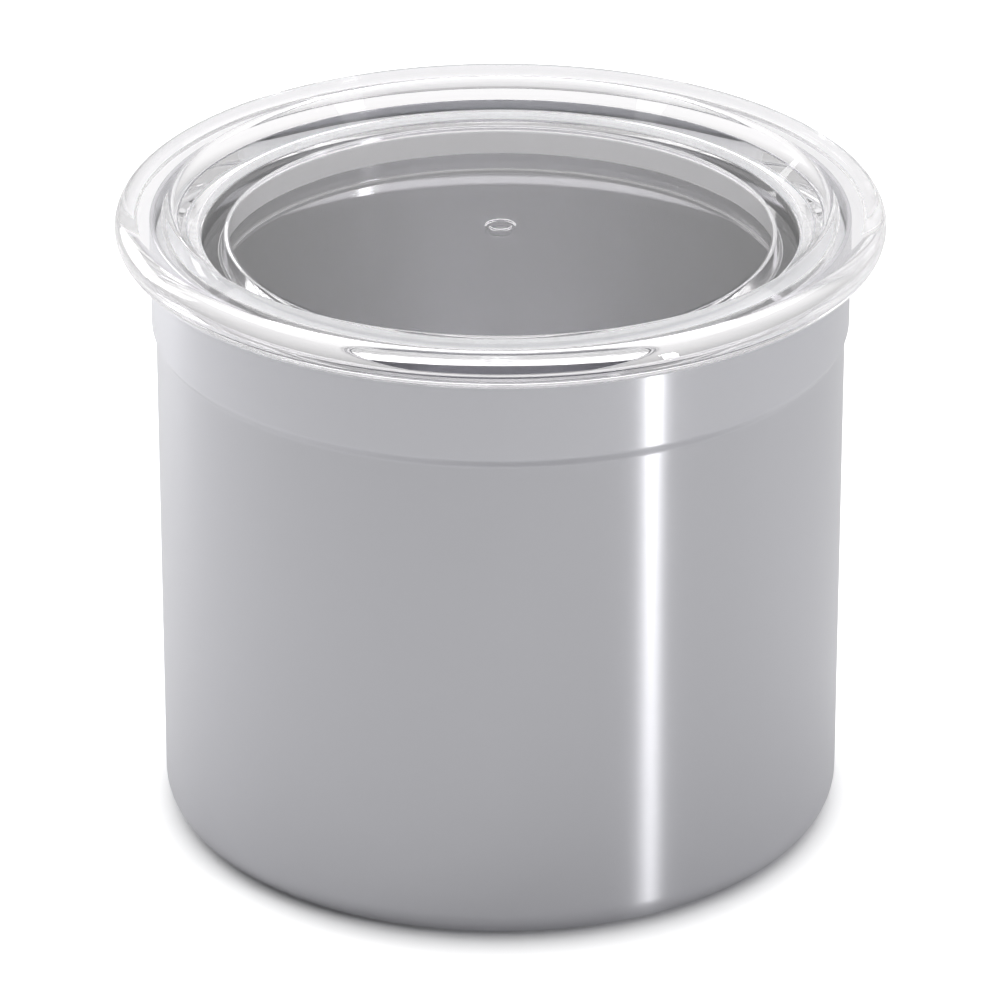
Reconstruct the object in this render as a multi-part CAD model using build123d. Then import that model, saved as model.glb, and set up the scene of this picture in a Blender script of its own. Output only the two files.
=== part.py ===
from build123d import *
import os

# Vacuum seal canister: a drawn steel cup, a clear plug lid and the soft seal round the plug.
# Millimetres, +Z up, origin at the centre of the plane that the cup stands on.
# Every piece is turned about Z from an outline of (radius, height, corner radius).

# Cup: driving dimensions
body_diameter = 114.0
cup_height = 102.05
sheet = 0.8
base_corner = 5.0
neck_height = 14.85
neck_flare = 0.7
shoulder_rise = 1.4
shoulder_corner = 1.2
foot_width = 9.0
base_recess = 0.9
recess_run = 2.2
recess_corner = 1.0
rim_corner = 0.3

# Lid above the cup: driving dimensions
flange_overhang = 5.75
bead_height = 6.3
bead_flat = 0.1
crest_width = 9.25
crest_corner = 2.0
dish_depth = 4.3
dish_run = 4.4
dish_corner = 0.8
plate = 1.8
gate_diameter = 5.0
gate_depth = 0.4
gate_nub_diameter = 3.6

# Channel under the flange, plug and skirt: driving dimensions
channel_depth = 1.0
channel_edge = 0.4
channel_corner = 0.3
channel_land = 0.05
plug_space = 1.3
plug_depth = 2.9
plug_taper = 0.4
plug_corner = 0.5
seal_space = 7.7
skirt_depth = 10.5
skirt_wall = 3.0
skirt_draft = 0.7
skirt_corner = 0.5
under_corner = 0.9
toe_width = 1.8
toe_height = 3.3

# Seal: driving dimensions
band_wall = 2.0
lip_thickness = 0.8
lip_rise = 1.2
lip_tip = 0.6
lip_corner = 0.25
lower_lip_height = 0.55
lip_pitch = 1.7
lip_count = 2

# Clearances
seat_gap = 0.15
lip_gap = 0.15
band_gap = 0.05
overrun = 1.0

# Places that follow from the sizes above
body_radius = body_diameter / 2
neck_radius = body_radius + neck_flare
bore_radius = neck_radius - sheet
shoulder_top = cup_height - neck_height
shoulder_foot = shoulder_top - shoulder_rise

seat_height = cup_height + seat_gap
bead_foot = seat_height - channel_depth
crown_height = bead_foot + bead_height
bead_corner = (bead_height - bead_flat) / 2
lid_radius = neck_radius + flange_overhang
channel_radius = lid_radius - bead_corner - channel_land - channel_edge
crest_radius = lid_radius - crest_width
dish_radius = crest_radius - dish_run
plate_top = crown_height - dish_depth
plate_foot = plate_top - plate
plug_radius = bore_radius - plug_space
plug_foot = seat_height - plug_depth
skirt_radius = bore_radius - seal_space
skirt_bore = skirt_radius - skirt_wall
skirt_foot = seat_height - skirt_depth
toe_top = skirt_foot + toe_height


def turned(outline):
    """Turn a closed outline of (radius, height, corner radius) about Z."""
    points = [(radius, height) for radius, height, _ in outline]
    corners = [corner for _, _, corner in outline]
    with BuildPart() as piece:
        with BuildSketch(Plane.XZ):
            with BuildLine():
                FilletPolyline(*points, radius=corners, close=True)
            make_face()
        revolve(axis=Axis.Z)
    return piece.part


def make_cup():
    """One drawn sheet: raised base panel, foot ring, rounded corner, side, shoulder and neck."""
    recess_foot = body_radius - base_corner - foot_width
    recess_top = recess_foot - recess_run
    inside_corner = base_corner - sheet
    outline = [
        (0, base_recess, 0),
        (recess_top, base_recess, recess_corner),
        (recess_foot, 0, recess_corner),
        (body_radius, 0, base_corner),
        (body_radius, shoulder_foot, shoulder_corner),
        (neck_radius, shoulder_top, shoulder_corner),
        (neck_radius, cup_height, rim_corner),
        (bore_radius, cup_height, rim_corner),
        (bore_radius, shoulder_top, shoulder_corner),
        (body_radius - sheet, shoulder_foot, shoulder_corner),
        (body_radius - sheet, sheet, inside_corner),
        (recess_foot, sheet, recess_corner),
        (recess_top, base_recess + sheet, recess_corner),
        (0, base_recess + sheet, 0),
    ]
    return turned(outline)


def make_gate_mark():
    """The shallow ring that the moulding gate leaves at the centre of the plate, with its nub."""
    upwards = (Align.CENTER, Align.CENTER, Align.MIN)
    with BuildPart() as ring:
        with Locations((0, 0, plate_top - gate_depth)):
            Cylinder(gate_diameter / 2, gate_depth + overrun, align=upwards)
            Cylinder(gate_nub_diameter / 2, gate_depth, align=upwards, mode=Mode.SUBTRACT)
    return ring.part


def make_lid():
    """Sunken plate, dish wall, rounded bead with the rim's channel under it, plug and skirt."""
    outline = [
        (0, plate_top, 0),
        (dish_radius, plate_top, dish_corner),
        (crest_radius, crown_height, crest_corner),
        (lid_radius, crown_height, bead_corner),
        (lid_radius, bead_foot, bead_corner),
        (channel_radius, bead_foot, channel_edge),
        (channel_radius, seat_height, channel_corner),
        (plug_radius, seat_height, channel_corner),
        (plug_radius - plug_taper, plug_foot, plug_corner),
        (skirt_radius, plug_foot, skirt_corner),
        (skirt_radius, toe_top, 0),
        (skirt_radius + toe_width, toe_top, 0),
        (skirt_radius + toe_width, skirt_foot, skirt_corner),
        (skirt_bore, skirt_foot, skirt_corner),
        (skirt_bore - skirt_draft, plate_foot, under_corner),
        (0, plate_foot, 0),
    ]
    return turned(outline) - make_gate_mark()


def make_seal():
    """Silicone ring on the skirt: a plain band with two lips that slant up to the bore."""
    band_inner = skirt_radius + band_gap
    band_outer = band_inner + band_wall
    band_foot = toe_top + band_gap
    band_top = plug_foot - band_gap
    tip_radius = bore_radius - lip_gap
    outline = [(band_inner, band_foot, 0), (band_outer, band_foot, lip_corner)]
    for lip in range(lip_count):
        root = band_foot + lower_lip_height + lip * lip_pitch
        outline += [
            (band_outer, root, lip_corner),
            (tip_radius, root + lip_rise, lip_corner),
            (tip_radius, root + lip_rise + lip_tip, lip_corner),
            (band_outer, root + lip_thickness, lip_corner),
        ]
    outline += [(band_outer, band_top, lip_corner), (band_inner, band_top, skirt_corner)]
    return turned(outline)


os.makedirs("parts", exist_ok=True)
export_step(make_cup(), "parts/canister_body.step")
export_step(make_lid(), "parts/lid.step")
export_step(make_seal(), "parts/seal_gasket.step")
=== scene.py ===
# Vacuum seal canister: a brushed steel cup, a clear plug lid and the soft seal round the plug
import math

import bpy
from bpy.props import FloatProperty, IntProperty, PointerProperty, StringProperty
from bpy.types import Operator, Panel, PropertyGroup
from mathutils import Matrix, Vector


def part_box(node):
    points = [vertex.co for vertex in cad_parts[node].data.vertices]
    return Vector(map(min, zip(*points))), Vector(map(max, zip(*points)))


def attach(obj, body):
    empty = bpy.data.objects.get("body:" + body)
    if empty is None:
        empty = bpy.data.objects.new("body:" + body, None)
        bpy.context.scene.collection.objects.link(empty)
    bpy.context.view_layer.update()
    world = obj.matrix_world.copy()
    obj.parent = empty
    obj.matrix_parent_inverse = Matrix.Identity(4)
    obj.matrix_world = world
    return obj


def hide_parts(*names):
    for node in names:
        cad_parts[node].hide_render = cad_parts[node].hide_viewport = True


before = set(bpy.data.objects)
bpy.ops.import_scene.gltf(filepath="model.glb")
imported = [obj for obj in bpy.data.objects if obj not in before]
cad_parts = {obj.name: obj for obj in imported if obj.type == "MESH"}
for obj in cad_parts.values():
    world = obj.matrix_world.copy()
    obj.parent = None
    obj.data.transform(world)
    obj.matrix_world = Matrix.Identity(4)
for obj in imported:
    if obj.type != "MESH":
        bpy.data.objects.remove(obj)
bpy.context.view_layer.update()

bl_info = {
    "name": "Vacuum Seal Canister",
    "version": (1, 0, 0),
    "blender": (4, 5, 0),
    "location": "3D View > Sidebar > Canister",
    "description": "Models a steel food canister with a clear plug lid, and the studio it stands in",
    "category": "Object",
}

MM = 0.001

# Places that the cup, lid and seal take from the frame
_, cup_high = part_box("canister_body")
lid_low, lid_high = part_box("lid")
seal_low, seal_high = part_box("seal_gasket")

# How finely the turned pieces are made
TURN_STEPS = 360
ARC_STEP = math.radians(9)
SMOOTH_BELOW = math.radians(32)
WELD = 0.002 * MM

# Brushed lines: how many times as long as wide, and how much they vary in shade and roughness
GRAIN_STRETCH = 50
GRAIN_SHADE = 0.02
GRAIN_ROUGHNESS = 0.03
NECK_FADE = 2 * MM

# Light tent, by the way a ray points: where the camera's side ends and the back begins, both along Y,
# and the height at which the tent is as light as its top
ROOM_END = -0.35
BACK_START = 0.45
TENT_TOP = 0.5

# Share of open sky round a point of the ground at which its own light is all gone, the darkest point of the
# painted contact shadow
CONTACT_DARK = 0.15

# Ground and camera: the ground's width in metres, the sensor's in millimetres, the picture's sideways
# shift as a share of its width, and the nearest distance in metres that the camera shows
GROUND_WIDTH = 3.0
SENSOR = 36
SHIFT = -0.0005
NEAREST = 0.01


def size(name, description, millimetres):
    """A length that a user can change, given in millimetres and held in metres."""
    return FloatProperty(name=name, description=description, default=millimetres * MM, min=0,
                         unit="LENGTH", precision=5)


class CupSizes(PropertyGroup):
    """Sizes of the drawn steel cup. Its height and its widest radius come from the frame."""
    sheet: size("Sheet", "Thickness of the steel", 0.8)
    base_corner: size("Base corner", "Outside radius where the side meets the base", 5.0)
    neck_height: size("Neck", "Height of the neck above the step", 14.85)
    neck_flare: size("Flare", "How far the neck stands out past the side", 0.7)
    shoulder_rise: size("Step", "Height over which the side widens to the neck", 1.4)
    shoulder_corner: size("Step corner", "Radius of the two bends of the step", 1.2)
    foot_width: size("Foot", "Width of the flat ring that the cup stands on", 9.0)
    base_recess: size("Recess", "How far the middle of the base is raised", 0.9)
    recess_run: size("Recess run", "Width of the slope up to the raised base", 2.2)
    recess_corner: size("Recess corner", "Radius of the bends round the raised base", 1.0)
    rim_corner: size("Rim corner", "Radius of the mouth's edges", 0.3)


class LidSizes(PropertyGroup):
    """Sizes of the moulded lid. Its height, foot and widest radius come from the frame."""
    bead: size("Bead", "Height of the rounded rim, over the cup's edge", 6.3)
    bead_corner: size("Bead corner", "Radius of the rim's outer edges", 3.1)
    bead_width: size("Bead width", "Width of the rim's top, from the dish to the outside", 9.25)
    dish_depth: size("Dish depth", "How far the plate lies below the top", 4.3)
    dish_radius: size("Dish radius", "Radius of the flat plate's edge", 49.8)
    dish_corner: size("Dish corner", "Radius between the plate and the dish wall", 0.8)
    crest_corner: size("Crest corner", "Radius between the dish wall and the top", 2.0)
    plate: size("Plate", "Thickness of the plate", 1.8)
    channel_depth: size("Channel", "Depth of the channel that the cup's rim goes into", 1.0)
    channel_radius: size("Channel radius", "Radius of the channel's outer wall", 59.9)
    channel_corner: size("Channel corner", "Radius of the bends at the channel's top", 0.3)
    channel_edge: size("Channel edge", "Radius of the channel's outer lower edge", 0.4)
    plug_radius: size("Plug radius", "Radius of the plug at the top of the channel", 55.6)
    plug_depth: size("Plug depth", "Height of the plug, down to the seal's seat", 2.9)
    plug_taper: size("Plug taper", "How far the plug narrows over its height", 0.4)
    skirt_radius: size("Skirt radius", "Radius of the wall that the seal sits on", 49.2)
    skirt_wall: size("Skirt", "Thickness of the skirt at its foot", 3.0)
    skirt_draft: size("Skirt draft", "How far the skirt thickens up to the plate", 0.7)
    skirt_corner: size("Skirt corner", "Radius of the skirt's edges", 0.5)
    under_corner: size("Under corner", "Radius between the skirt and the plate's underside", 0.9)
    toe_width: size("Toe", "How far the toe stands out under the seal", 1.8)
    toe_height: size("Toe height", "Height of the toe under the seal", 3.3)
    gate_radius: size("Gate radius", "Outside radius of the mark left by the moulding gate", 2.5)
    gate_width: size("Gate width", "Width of the mark's groove", 0.7)
    gate_depth: size("Gate depth", "Depth of the mark's groove", 0.4)
    gate_corner: size("Gate corner", "Radius of the groove's edges", 0.12)


class SealSizes(PropertyGroup):
    """Sizes of the silicone ring. Its foot, top and widest radius come from the frame."""
    band: size("Band", "Thickness of the plain band against the skirt", 2.0)
    lip_thickness: size("Lip", "Thickness of a lip where it leaves the band", 0.8)
    lip_rise: size("Lip rise", "How far a lip slants up to the bore", 1.2)
    lip_tip: size("Lip tip", "Height of a lip's tip", 0.6)
    lip_corner: size("Lip corner", "Radius of the ring's edges", 0.25)
    first_lip: size("First lip", "Height of the lower lip's root above the foot", 0.55)
    lip_pitch: size("Pitch", "Height from one lip to the next", 1.7)
    top_corner: size("Top corner", "Radius of the ring's inner top edge", 0.5)
    gap: size("Gap", "Room between the ring and the skirt", 0.05)
    lip_count: IntProperty(name="Lips", description="Number of lips", default=2, min=1)


class SteelFinish(PropertyGroup):
    """Look of the brushed steel."""
    colour: StringProperty(name="Colour", description="Colour of the steel, as sRGB hex", default="CDCDD1")
    roughness: FloatProperty(name="Roughness", description="Roughness of the brushed steel",
                             default=0.22, min=0, max=1, subtype="FACTOR")
    anisotropy: FloatProperty(name="Anisotropy", description="How far the grain stretches a reflection",
                              default=1.0, min=0, max=1, subtype="FACTOR")
    grain: size("Grain", "Spacing of the brushed lines that show", 0.12)
    neck_foot: size("Neck foot", "Height above which the steel is the widened neck", 87.2)
    # Painted sheen: how much lighter the neck's colour is painted than the side's
    neck_painted_sheen: FloatProperty(name="Neck shine", description="How much lighter the neck is than the side",
                              default=1.1, min=1)


class AcrylicFinish(PropertyGroup):
    """Look of the clear lid."""
    colour: StringProperty(name="Colour", description="Tint of the acrylic, as sRGB hex", default="FFFEFF")
    ior: FloatProperty(name="IOR", description="Refractive index of acrylic", default=1.49, min=1, max=2)
    flow: size("Flow", "Width of the faint waves that moulding leaves", 9.0)


class SiliconeFinish(PropertyGroup):
    """Look of the soft seal."""
    colour: StringProperty(name="Colour", description="Colour of the silicone, as sRGB hex", default="F1F3F5")
    clearness: FloatProperty(name="Clearness", description="Share of the light that passes through",
                             default=0.12, min=0, max=1, subtype="FACTOR")
    # Painted glow: light that the seal gives of itself where the lid shows it, in place of light that enters
    # it
    glow: FloatProperty(name="Glow", description="Light that the rubber spreads, as the lid shows it",
                        default=0.17, min=0)
    grit: size("Grit", "Size of the satin surface's grain", 0.25)


class StageSettings(PropertyGroup):
    """Camera, ground and light."""
    elevation: FloatProperty(name="Elevation", description="Height of the camera above the horizon",
                             default=math.radians(25.36), subtype="ANGLE")
    distance: FloatProperty(name="Distance", description="From the camera to the point it looks at",
                            default=1.132, unit="LENGTH")
    aim_height: size("Aim", "Height of the point that the camera looks at", 53.09)
    lens: FloatProperty(name="Lens", description="Focal length in millimetres on a 36 mm sensor",
                        default=242.93)
    ground: StringProperty(name="Ground", description="Colour of the ground, as sRGB hex", default="F4F4F5")
    glow: FloatProperty(name="Glow", description="Light that the ground gives of itself, to show white",
                        default=0.7, min=0)
    glow_through: FloatProperty(name="Glow through the lid", default=0.06, min=0,
                                description="The same light, for the ground that shows through the lid")
    contact: size("Contact", "How far from the canister its contact shadow reaches", 7.0)
    horizon: FloatProperty(name="Horizon", description="Light of the tent low down, as a share of its top's",
                           default=0.5, min=0, max=1, subtype="FACTOR")
    room: FloatProperty(name="Room", description="Light from the camera's side, as a share of white",
                        default=0.62, min=0, max=1, subtype="FACTOR")
    fill: FloatProperty(name="Fill", description="Share of that light that falls on what is matt",
                        default=0.46, min=0, max=1, subtype="FACTOR")
    bounces: IntProperty(name="Bounces", description="How often light may turn in the clear lid",
                         default=128, min=1)


# Colours and nodes
def linear(hex_colour):
    """Linear RGBA of an sRGB hex colour."""
    channels = [int(hex_colour[k:k + 2], 16) / 255 for k in (0, 2, 4)]
    return [c / 12.92 if c <= 0.04045 else ((c + 0.055) / 1.055) ** 2.4 for c in channels] + [1.0]


def add_node(tree, kind, settings=None, values=None, links=None):
    """Add one node, set it up, give its sockets values and link them to other nodes' outputs."""
    node = tree.nodes.new(kind)
    for name, value in (settings or {}).items():
        setattr(node, name, value)
    for socket, value in (values or {}).items():
        node.inputs[socket].default_value = value
    for socket, source in (links or {}).items():
        tree.links.new(source, node.inputs[socket])
    return node


def new_material(name):
    """A material with nothing in its tree."""
    material = bpy.data.materials.new(name)
    material.use_nodes = True
    material.node_tree.nodes.clear()
    return material, material.node_tree


def brushed_stainless_steel(finish):
    """Stainless sheet, deep drawn, then brushed round its axis.

    Brushing leaves fine level lines, so a lamp's reflection is drawn out into an upright stripe.
    The neck's colour is painted a little lighter, a painted sheen for the brighter reflection it shows above
    the step.
    """
    material, tree = new_material("brushed_stainless_steel")
    place = add_node(tree, "ShaderNodeTexCoord").outputs["Object"]
    along = 1 / (GRAIN_STRETCH * finish.grain)
    grain = add_node(tree, "ShaderNodeMapping", values={"Scale": (along, along, 1 / finish.grain)},
                     links={"Vector": place})
    lines = add_node(tree, "ShaderNodeTexNoise", values={"Scale": 1.0, "Detail": 3.0, "Roughness": 0.6},
                     links={"Vector": grain.outputs["Vector"]})
    shade = add_node(tree, "ShaderNodeMapRange",
                     values={"To Min": 1 - GRAIN_SHADE, "To Max": 1 + GRAIN_SHADE},
                     links={"Value": lines.outputs["Fac"]})
    height = add_node(tree, "ShaderNodeSeparateXYZ", links={"Vector": place})
    # Painted sheen: the neck's colour is raised, so the neck shows a lighter reflection than the side
    painted_neck_sheen = add_node(tree, "ShaderNodeMapRange",
                      values={"From Min": finish.neck_foot - NECK_FADE, "From Max": finish.neck_foot,
                              "To Min": 1.0, "To Max": finish.neck_painted_sheen},
                      links={"Value": height.outputs["Z"]})
    tone = add_node(tree, "ShaderNodeMath", {"operation": "MULTIPLY"},
                    links={0: shade.outputs["Result"], 1: painted_neck_sheen.outputs["Result"]})
    tint = add_node(tree, "ShaderNodeVectorMath", {"operation": "SCALE"}, {0: linear(finish.colour)[:3]},
                    {"Scale": tone.outputs[0]})
    rough = add_node(tree, "ShaderNodeMapRange",
                     values={"To Min": finish.roughness - GRAIN_ROUGHNESS,
                             "To Max": finish.roughness + GRAIN_ROUGHNESS},
                     links={"Value": lines.outputs["Fac"]})
    bump = add_node(tree, "ShaderNodeBump", values={"Strength": 0.01, "Distance": 0.01 * MM},
                    links={"Height": lines.outputs["Fac"]})
    round_axis = add_node(tree, "ShaderNodeTangent", {"direction_type": "RADIAL", "axis": "Z"})
    shader = add_node(tree, "ShaderNodeBsdfPrincipled",
                      values={"Metallic": 1.0, "Anisotropic": finish.anisotropy,
                              "Anisotropic Rotation": 0.25},
                      links={"Base Color": tint.outputs["Vector"], "Roughness": rough.outputs["Result"],
                             "Normal": bump.outputs["Normal"], "Tangent": round_axis.outputs["Tangent"]})
    add_node(tree, "ShaderNodeOutputMaterial", links={"Surface": shader.outputs["BSDF"]})
    return material


def moulded_clear_acrylic(finish):
    """Acrylic, injection moulded in a polished tool and left clear.

    The surface is all gloss, with waves too faint to see but for how they bend thin reflections.
    """
    material, tree = new_material("moulded_clear_acrylic")
    place = add_node(tree, "ShaderNodeTexCoord").outputs["Object"]
    waves = add_node(tree, "ShaderNodeTexNoise", values={"Scale": 1 / finish.flow, "Detail": 1.0},
                     links={"Vector": place})
    bump = add_node(tree, "ShaderNodeBump", values={"Strength": 0.15, "Distance": 0.02 * MM},
                    links={"Height": waves.outputs["Fac"]})
    shader = add_node(tree, "ShaderNodeBsdfPrincipled",
                      values={"Base Color": linear(finish.colour), "Roughness": 0.0, "IOR": finish.ior,
                              "Transmission Weight": 1.0},
                      links={"Normal": bump.outputs["Normal"]})
    add_node(tree, "ShaderNodeOutputMaterial", links={"Surface": shader.outputs["BSDF"]})
    return material


def translucent_silicone(finish):
    """Food-grade silicone rubber, moulded, milky, with a satin skin.

    Milky rubber spreads the light that enters from the plug above it. Where it is seen through the
    clear lid, a faint painted glow stands for that light: the rubber gives off light of its own, though it is
    no lamp.
    """
    material, tree = new_material("translucent_silicone")
    path = add_node(tree, "ShaderNodeLightPath")
    # Painted glow: emission that only rays through the clear lid see
    painted_glow = add_node(tree, "ShaderNodeMath", {"operation": "MULTIPLY"}, {1: finish.glow},
                      {0: path.outputs["Is Transmission Ray"]})
    place = add_node(tree, "ShaderNodeTexCoord").outputs["Object"]
    skin = add_node(tree, "ShaderNodeTexNoise", values={"Scale": 1 / finish.grit, "Detail": 2.0},
                    links={"Vector": place})
    bump = add_node(tree, "ShaderNodeBump", values={"Strength": 0.2, "Distance": 0.02 * MM},
                    links={"Height": skin.outputs["Fac"]})
    shader = add_node(tree, "ShaderNodeBsdfPrincipled",
                      values={"Base Color": linear(finish.colour), "Roughness": 0.35, "IOR": 1.41,
                              "Transmission Weight": finish.clearness, "Emission Color": (1, 1, 1, 1)},
                      links={"Normal": bump.outputs["Normal"], "Emission Strength": painted_glow.outputs[0]})
    add_node(tree, "ShaderNodeOutputMaterial", links={"Surface": shader.outputs["BSDF"]})
    return material


# Turning
def point(radius, height):
    """A point of an outline, in the plane y = 0."""
    return Vector((radius, 0, height))


def draw_to(pen, target):
    """Draw a straight line on from the selected vertex."""
    bpy.ops.mesh.extrude_region_move(TRANSFORM_OT_translate={"value": target - pen})
    return target


def draw_corner(pen, before, corner, after, radius):
    """Draw on to a corner and round it with an arc of that radius."""
    back, on = (before - corner).normalized(), (after - corner).normalized()
    half = back.angle(on) / 2
    reach = radius / math.tan(half)
    centre = corner + (back + on).normalized() * (radius / math.sin(half))
    draw_to(pen, corner + back * reach)
    turn = math.copysign(math.pi - 2 * half, back.cross(on).y)
    bpy.ops.mesh.spin(steps=max(2, round(abs(turn) / ARC_STEP)), angle=turn, center=centre, axis=(0, 1, 0))
    return corner + on * reach


def apply_modifier(piece, kind, **settings):
    """Add a modifier with its settings and apply it."""
    bpy.ops.object.modifier_add(type=kind)
    modifier = piece.modifiers[-1]
    for name, value in settings.items():
        setattr(modifier, name, value)
    bpy.ops.object.modifier_apply(modifier=modifier.name)


def turned(name, outline, ring=False):
    """Draw an outline of (radius, height, corner radius) and turn it about Z.

    The outline starts and ends on the axis, or is a ring's, which starts at a sharp point and
    closes on it.
    """
    points = [point(radius, height) for radius, height, _ in outline]
    bpy.ops.object.select_all(action="DESELECT")
    bpy.ops.mesh.primitive_plane_add(size=MM, location=points[0])
    piece = bpy.context.object
    piece.name = piece.data.name = name
    bpy.ops.object.transform_apply(location=True)
    bpy.ops.object.mode_set(mode="EDIT")
    bpy.ops.mesh.select_mode(type="VERT")
    bpy.ops.mesh.merge(type="CENTER")
    pen = points[0]
    for k in range(1, len(points)):
        corner = outline[k][2]
        if corner:
            pen = draw_corner(pen, points[k - 1], points[k], points[(k + 1) % len(points)], corner)
        else:
            pen = draw_to(pen, points[k])
    if ring:
        draw_to(pen, points[0])
    bpy.ops.mesh.select_all(action="SELECT")
    bpy.ops.mesh.remove_doubles(threshold=WELD)
    bpy.ops.object.mode_set(mode="OBJECT")
    apply_modifier(piece, "SCREW", angle=2 * math.pi, steps=TURN_STEPS, render_steps=TURN_STEPS,
                   use_merge_vertices=True, merge_threshold=WELD)
    bpy.ops.object.mode_set(mode="EDIT")
    bpy.ops.mesh.select_all(action="SELECT")
    bpy.ops.mesh.normals_make_consistent(inside=False)
    bpy.ops.object.mode_set(mode="OBJECT")
    bpy.ops.object.shade_smooth_by_angle(angle=SMOOTH_BELOW)
    apply_modifier(piece, "WEIGHTED_NORMAL", keep_sharp=True)
    return piece


def fit(piece, node, body, material):
    """Give a finished piece its material, and put it in its CAD node's place on its body."""
    piece.data.materials.append(material)
    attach(piece, body)
    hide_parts(node)


class CANISTER_OT_cup(Operator):
    """Turn the steel cup: raised base, foot ring, rounded corner, side, step and neck"""
    bl_idname = "canister.cup"
    bl_label = "Steel Cup"

    def execute(self, context):
        cup = context.scene.canister_cup
        height, neck, sheet = cup_high.z, cup_high.x, cup.sheet
        side = neck - cup.neck_flare
        shoulder_top = height - cup.neck_height
        shoulder_foot = shoulder_top - cup.shoulder_rise
        recess_foot = side - cup.base_corner - cup.foot_width
        recess_top = recess_foot - cup.recess_run
        outline = [
            (0, cup.base_recess, 0),
            (recess_top, cup.base_recess, cup.recess_corner),
            (recess_foot, 0, cup.recess_corner),
            (side, 0, cup.base_corner),
            (side, shoulder_foot, cup.shoulder_corner),
            (neck, shoulder_top, cup.shoulder_corner),
            (neck, height, cup.rim_corner),
            (neck - sheet, height, cup.rim_corner),
            (neck - sheet, shoulder_top, cup.shoulder_corner),
            (side - sheet, shoulder_foot, cup.shoulder_corner),
            (side - sheet, sheet, cup.base_corner - sheet),
            (recess_foot, sheet, cup.recess_corner),
            (recess_top, cup.base_recess + sheet, cup.recess_corner),
            (0, cup.base_recess + sheet, 0),
        ]
        material = brushed_stainless_steel(context.scene.canister_steel)
        fit(turned("steel_cup", outline), "canister_body", "canister", material)
        return {"FINISHED"}


class CANISTER_OT_lid(Operator):
    """Turn the clear lid: gate mark, plate, dish, rounded rim, plug and the skirt inside it"""
    bl_idname = "canister.lid"
    bl_label = "Clear Lid"

    def execute(self, context):
        lid = context.scene.canister_lid
        top, foot, outside = lid_high.z, lid_low.z, lid_high.x
        bead_foot = top - lid.bead
        seat = bead_foot + lid.channel_depth
        plate_top = top - lid.dish_depth
        plate_foot = plate_top - lid.plate
        plug_foot = seat - lid.plug_depth
        toe_top = foot + lid.toe_height
        skirt_inside = lid.skirt_radius - lid.skirt_wall
        gate_inside = lid.gate_radius - lid.gate_width
        outline = [
            (0, plate_top, 0),
            (gate_inside, plate_top, lid.gate_corner),
            (gate_inside, plate_top - lid.gate_depth, lid.gate_corner),
            (lid.gate_radius, plate_top - lid.gate_depth, lid.gate_corner),
            (lid.gate_radius, plate_top, lid.gate_corner),
            (lid.dish_radius, plate_top, lid.dish_corner),
            (outside - lid.bead_width, top, lid.crest_corner),
            (outside, top, lid.bead_corner),
            (outside, bead_foot, lid.bead_corner),
            (lid.channel_radius, bead_foot, lid.channel_edge),
            (lid.channel_radius, seat, lid.channel_corner),
            (lid.plug_radius, seat, lid.channel_corner),
            (lid.plug_radius - lid.plug_taper, plug_foot, lid.skirt_corner),
            (lid.skirt_radius, plug_foot, lid.skirt_corner),
            (lid.skirt_radius, toe_top, 0),
            (lid.skirt_radius + lid.toe_width, toe_top, 0),
            (lid.skirt_radius + lid.toe_width, foot, lid.skirt_corner),
            (skirt_inside, foot, lid.skirt_corner),
            (skirt_inside - lid.skirt_draft, plate_foot, lid.under_corner),
            (0, plate_foot, 0),
        ]
        material = moulded_clear_acrylic(context.scene.canister_acrylic)
        fit(turned("clear_lid", outline), "lid", "lid", material)
        return {"FINISHED"}


class CANISTER_OT_seal(Operator):
    """Turn the soft seal: a plain band with lips that slant up to the bore"""
    bl_idname = "canister.seal"
    bl_label = "Soft Seal"

    def execute(self, context):
        seal = context.scene.canister_seal
        inside = context.scene.canister_lid.skirt_radius + seal.gap
        band, tip, foot, top = inside + seal.band, seal_high.x, seal_low.z, seal_high.z
        outline = [(inside, foot, 0), (band, foot, seal.lip_corner)]
        for lip in range(seal.lip_count):
            root = foot + seal.first_lip + lip * seal.lip_pitch
            outline += [
                (band, root, seal.lip_corner),
                (tip, root + seal.lip_rise, seal.lip_corner),
                (tip, root + seal.lip_rise + seal.lip_tip, seal.lip_corner),
                (band, root + seal.lip_thickness, seal.lip_corner),
            ]
        outline += [(band, top, seal.lip_corner), (inside, top, seal.top_corner)]
        material = translucent_silicone(context.scene.canister_silicone)
        fit(turned("silicone_seal", outline, ring=True), "seal_gasket", "lid", material)
        return {"FINISHED"}


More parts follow.
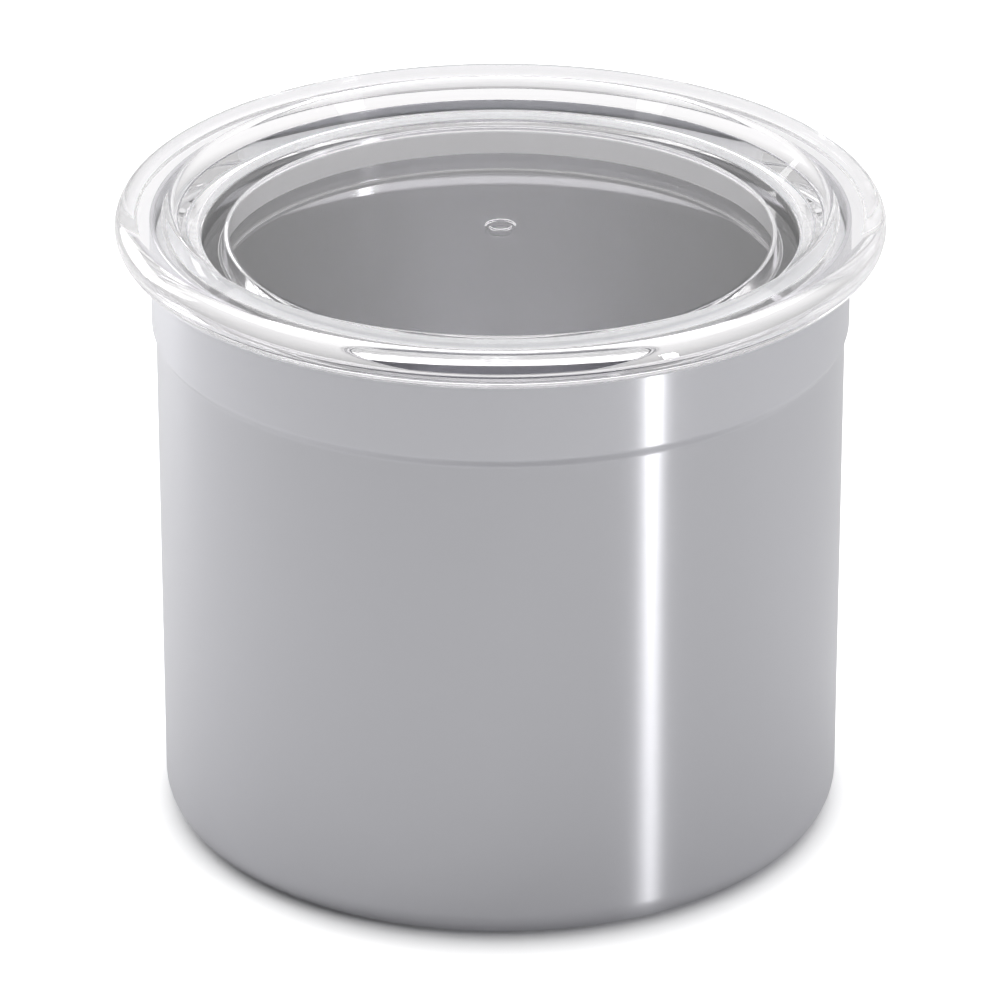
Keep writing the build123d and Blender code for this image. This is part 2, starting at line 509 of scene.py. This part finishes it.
# Studio
def white_sweep(settings):
    """Matt white paper: it shows white, and still takes the canister's shadow where it stands.

    Its own light, which only the camera and the clear lid see, fades out close to the canister: a painted
    contact shadow, drawn from how much open sky a point has.
    """
    material, tree = new_material("white_paper_sweep")
    path = add_node(tree, "ShaderNodeLightPath")
    seen = add_node(tree, "ShaderNodeMath", {"operation": "MULTIPLY"}, {1: settings.glow},
                    {0: path.outputs["Is Camera Ray"]})
    glow = add_node(tree, "ShaderNodeMath", {"operation": "MULTIPLY_ADD"}, {1: settings.glow_through},
                    {0: path.outputs["Is Transmission Ray"], 2: seen.outputs[0]})
    # Painted contact shadow: the ground's own light fades where the canister hides the open sky round it
    contact = add_node(tree, "ShaderNodeAmbientOcclusion", {"samples": 16}, {"Distance": settings.contact})
    clear = add_node(tree, "ShaderNodeMapRange", values={"From Min": CONTACT_DARK},
                     links={"Value": contact.outputs["AO"]})
    share = add_node(tree, "ShaderNodeMath", {"operation": "MULTIPLY"},
                     links={0: glow.outputs[0], 1: clear.outputs["Result"]})
    paper = add_node(tree, "ShaderNodeBsdfDiffuse", values={"Color": linear(settings.ground)})
    light = add_node(tree, "ShaderNodeEmission", links={"Strength": share.outputs[0]})
    both = add_node(tree, "ShaderNodeAddShader", links={0: paper.outputs[0], 1: light.outputs[0]})
    add_node(tree, "ShaderNodeOutputMaterial", links={"Surface": both.outputs[0]})
    return material


def studio_world(settings):
    """A white light tent that is dimmer low down, and a dimmer room on the camera's side."""
    world = bpy.data.worlds.new("studio")
    bpy.context.scene.world = world
    world.use_nodes = True
    tree = world.node_tree
    tree.nodes.clear()
    way = add_node(tree, "ShaderNodeSeparateXYZ",
                   links={"Vector": add_node(tree, "ShaderNodeTexCoord").outputs["Generated"]})
    room = add_node(tree, "ShaderNodeMapRange", {"interpolation_type": "SMOOTHSTEP"},
                    {"From Min": ROOM_END, "From Max": BACK_START, "To Min": settings.room, "To Max": 1.0},
                    {"Value": way.outputs["Y"]})
    rise = add_node(tree, "ShaderNodeMapRange",
                    values={"From Max": TENT_TOP, "To Min": settings.horizon, "To Max": 1.0},
                    links={"Value": way.outputs["Z"]})
    tent = add_node(tree, "ShaderNodeMath", {"operation": "MULTIPLY"},
                    links={0: room.outputs["Result"], 1: rise.outputs["Result"]})
    path = add_node(tree, "ShaderNodeLightPath")
    cut = add_node(tree, "ShaderNodeMapRange", values={"To Min": 1.0, "To Max": settings.fill},
                   links={"Value": path.outputs["Is Diffuse Ray"]})
    even = add_node(tree, "ShaderNodeMath", {"operation": "MULTIPLY"},
                    links={0: tent.outputs[0], 1: cut.outputs["Result"]})
    light = add_node(tree, "ShaderNodeMath", {"operation": "MAXIMUM"},
                     links={0: even.outputs[0], 1: path.outputs["Is Camera Ray"]})
    sky = add_node(tree, "ShaderNodeBackground", values={"Color": (1, 1, 1, 1)},
                   links={"Strength": light.outputs[0]})
    add_node(tree, "ShaderNodeOutputWorld", links={"Surface": sky.outputs[0]})


def around(azimuth, elevation, distance):
    """A point round the canister. Azimuth 0 is the camera's side and grows to its right."""
    level = distance * math.cos(elevation)
    return Vector((level * math.sin(azimuth), -level * math.cos(azimuth), distance * math.sin(elevation)))


def lamp(name, azimuth, elevation, distance, width, height, watts):
    """A flat rectangular light that faces the canister. Angles are in degrees, lengths in metres."""
    bpy.ops.object.light_add(type="AREA")
    light = bpy.context.object
    light.name = light.data.name = name
    light.data.shape = "RECTANGLE"
    light.data.size, light.data.size_y, light.data.energy = width, height, watts
    light.location = around(math.radians(azimuth), math.radians(elevation), distance)
    away = light.location - Vector((0, 0, cup_high.z / 2))
    light.rotation_euler = away.to_track_quat("Z", "Y").to_euler()


class CANISTER_OT_stage(Operator):
    """Set the white sweep, the light tent, the three lamps and the camera"""
    bl_idname = "canister.stage"
    bl_label = "Stage"

    def execute(self, context):
        settings = context.scene.canister_stage
        bpy.ops.object.select_all(action="DESELECT")
        bpy.ops.mesh.primitive_plane_add(size=GROUND_WIDTH)
        ground = context.object
        ground.name = "white_sweep"
        ground.data.materials.append(white_sweep(settings))
        studio_world(settings)
        lamp("stripe_lamp", azimuth=47.9, elevation=12, distance=1.2, width=0.1, height=0.6, watts=4.1)
        lamp("softbox", azimuth=180, elevation=72, distance=1.3, width=1.8, height=1.2, watts=9.2)
        lamp("rim_light", azimuth=-128, elevation=25, distance=0.45, width=0.2, height=0.2, watts=0.42)
        bpy.ops.object.camera_add()
        camera = context.object
        back = around(0, settings.elevation, 1)
        camera.location = Vector((0, 0, settings.aim_height)) + back * settings.distance
        camera.rotation_euler = back.to_track_quat("Z", "Y").to_euler()
        camera.data.lens, camera.data.sensor_width = settings.lens, SENSOR
        camera.data.shift_x, camera.data.clip_start = SHIFT, NEAREST
        context.scene.camera = camera
        context.scene.view_settings.view_transform = "Standard"
        cycles = context.scene.cycles
        cycles.max_bounces = cycles.glossy_bounces = cycles.transmission_bounces = settings.bounces
        return {"FINISHED"}


class CANISTER_PT_panel(Panel):
    """Lists the pieces and the stage"""
    bl_label = "Vacuum Seal Canister"
    bl_idname = "CANISTER_PT_panel"
    bl_space_type = "VIEW_3D"
    bl_region_type = "UI"
    bl_category = "Canister"

    def draw(self, context):
        layout = self.layout
        for group, operator in GROUPS:
            box = layout.box()
            for setting in getattr(context.scene, group).__annotations__:
                box.prop(getattr(context.scene, group), setting)
            if operator:
                box.operator(operator)


SETTINGS = {
    "canister_cup": CupSizes, "canister_lid": LidSizes, "canister_seal": SealSizes,
    "canister_steel": SteelFinish, "canister_acrylic": AcrylicFinish, "canister_silicone": SiliconeFinish,
    "canister_stage": StageSettings,
}
GROUPS = [
    ("canister_steel", None), ("canister_cup", "canister.cup"),
    ("canister_acrylic", None), ("canister_lid", "canister.lid"),
    ("canister_silicone", None), ("canister_seal", "canister.seal"),
    ("canister_stage", "canister.stage"),
]
CLASSES = [*SETTINGS.values(), CANISTER_OT_cup, CANISTER_OT_lid, CANISTER_OT_seal, CANISTER_OT_stage,
           CANISTER_PT_panel]


def register():
    for kind in CLASSES:
        bpy.utils.register_class(kind)
    for name, kind in SETTINGS.items():
        setattr(bpy.types.Scene, name, PointerProperty(type=kind))


def unregister():
    for name in SETTINGS:
        delattr(bpy.types.Scene, name)
    for kind in reversed(CLASSES):
        bpy.utils.unregister_class(kind)


def main():
    register()
    bpy.ops.canister.cup()
    bpy.ops.canister.lid()
    bpy.ops.canister.seal()
    bpy.ops.canister.stage()


if __name__ == "__main__":
    main()
